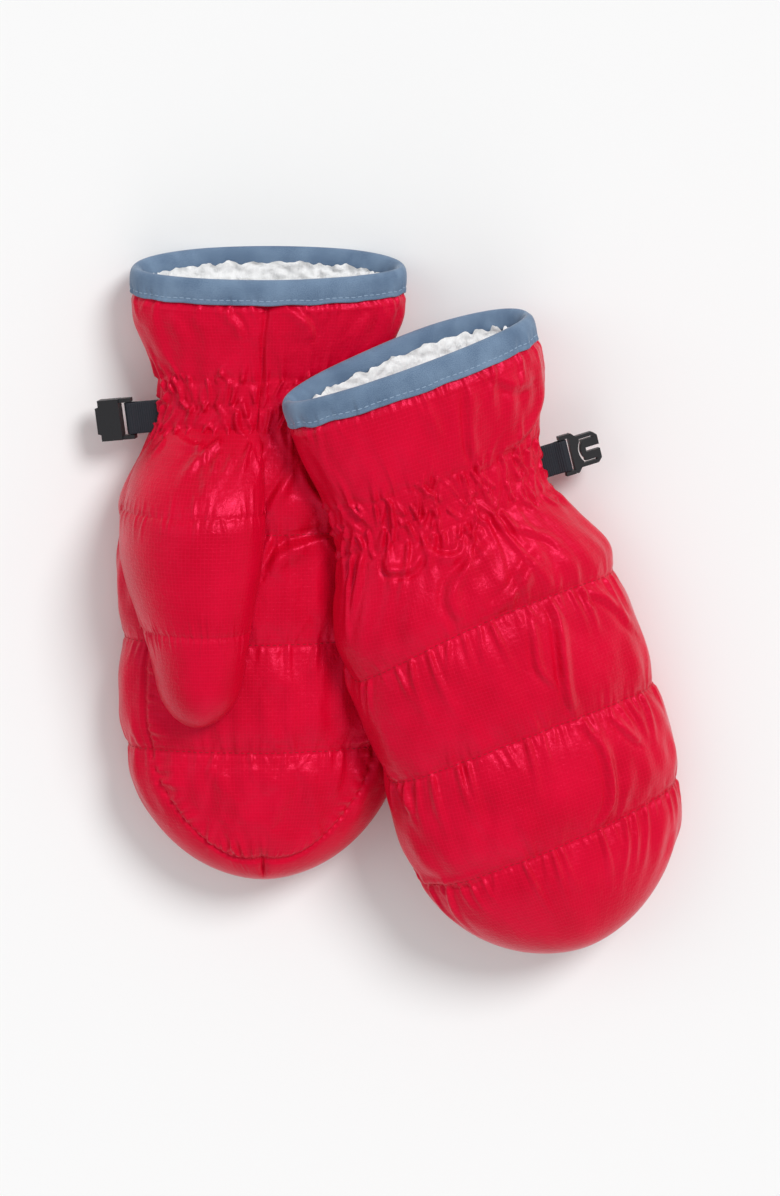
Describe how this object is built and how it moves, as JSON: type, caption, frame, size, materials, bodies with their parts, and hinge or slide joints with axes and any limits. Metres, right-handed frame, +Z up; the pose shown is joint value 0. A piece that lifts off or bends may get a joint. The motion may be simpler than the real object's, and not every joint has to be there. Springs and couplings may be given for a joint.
{
  "type": "insulated mittens",
  "caption": "Quilted insulated mittens with gathered wrists, bound cuffs, pile lining, folded thumbs, and webbing tabs that carry the two halves of a glove clip.",
  "frame": {"origin": "centre of the bounding box of the pair at the table surface", "axes": "+Z up from the table; +Y from the fingertips to the cuffs along the right mitten; +X towards the left mitten. The right mitten lies palm up at -X, the left mitten lies back up at +X and partly on the right one."},
  "size_m": [0.2692, 0.3262, 0.0709],
  "materials": {
    "shell_fabric": "glossy coated ripstop nylon, red",
    "insulation_fibre": "loose synthetic down",
    "sherpa_pile": "white sherpa pile",
    "elastic_band": "flat braided elastic",
    "binding_tape": "matt woven stretch tape, steel blue",
    "webbing": "ribbed nylon webbing, navy black",
    "clip_plastic": "moulded acetal, black"
  },
  "bodies": {
    "right_mitten": {"right_back_shell": "shell_fabric", "right_cuff_back_shell": "shell_fabric", "right_palm_shell": "shell_fabric", "right_thumb_side_shell": "shell_fabric", "right_thumb_gusset": "shell_fabric", "right_back_insulation": "insulation_fibre", "right_palm_insulation": "insulation_fibre", "right_back_lining": "sherpa_pile", "right_palm_lining": "sherpa_pile", "right_wrist_elastic": "elastic_band", "right_cuff_binding": "binding_tape", "right_tab_anchor": "webbing"},
    "left_mitten": {"left_back_shell": "shell_fabric", "left_cuff_back_shell": "shell_fabric", "left_palm_shell": "shell_fabric", "left_thumb_side_shell": "shell_fabric", "left_thumb_gusset": "shell_fabric", "left_back_insulation": "insulation_fibre", "left_palm_insulation": "insulation_fibre", "left_back_lining": "sherpa_pile", "left_palm_lining": "sherpa_pile", "left_wrist_elastic": "elastic_band", "left_cuff_binding": "binding_tape", "left_tab_anchor": "webbing"},
    "right_thumb": {"right_thumb_front_shell": "shell_fabric", "right_thumb_rear_shell": "shell_fabric", "right_thumb_insulation": "insulation_fibre", "right_thumb_lining": "sherpa_pile"},
    "left_thumb": {"left_thumb_front_shell": "shell_fabric", "left_thumb_rear_shell": "shell_fabric", "left_thumb_insulation": "insulation_fibre", "left_thumb_lining": "sherpa_pile"},
    "right_tab": {"right_webbing_tab": "webbing"},
    "left_tab": {"left_webbing_tab": "webbing"},
    "right_clip": {"right_clip_receiver": "clip_plastic"},
    "left_clip": {"left_clip_hook": "clip_plastic"}
  },
  "joints": [
    {"name": "left_mitten_lift", "type": "slide", "parent": "right_mitten", "child": "left_mitten", "axis": [0, 0, 1], "range_m": [0, 0.15]},
    {"name": "right_thumb_swing", "type": "hinge", "parent": "right_mitten", "child": "right_thumb", "pos_m": [-0.09, 0.042, 0.06962], "axis": [-1, 0, 0], "range_deg": [0, 35]},
    {"name": "left_thumb_swing", "type": "hinge", "parent": "left_mitten", "child": "left_thumb", "pos_m": [0.03068, 0.0019, 0.00543], "axis": [0.9327, 0.2675, -0.2419], "range_deg": [0, 35]},
    {"name": "right_tab_fold", "type": "hinge", "parent": "right_mitten", "child": "right_tab", "pos_m": [-0.114, 0.086, 0.02], "axis": [-0.1219, 0.9925, 0], "range_deg": [-50, 60]},
    {"name": "left_tab_fold", "type": "hinge", "parent": "left_mitten", "child": "left_tab", "pos_m": [0.07602, 0.06707, 0.02289], "axis": [0.2364, -0.9702, -0.0529], "range_deg": [-50, 60]},
    {"name": "right_clip_pivot", "type": "hinge", "parent": "right_tab", "child": "right_clip", "pos_m": [-0.11879, 0.08541, 0.01871], "axis": [-0.1219, 0.9925, 0], "range_deg": [-50, 50]},
    {"name": "left_clip_pivot", "type": "hinge", "parent": "left_tab", "child": "left_clip", "pos_m": [0.08065, 0.06828, 0.02142], "axis": [0.2364, -0.9702, -0.0529], "range_deg": [-50, 50]}
  ]
}
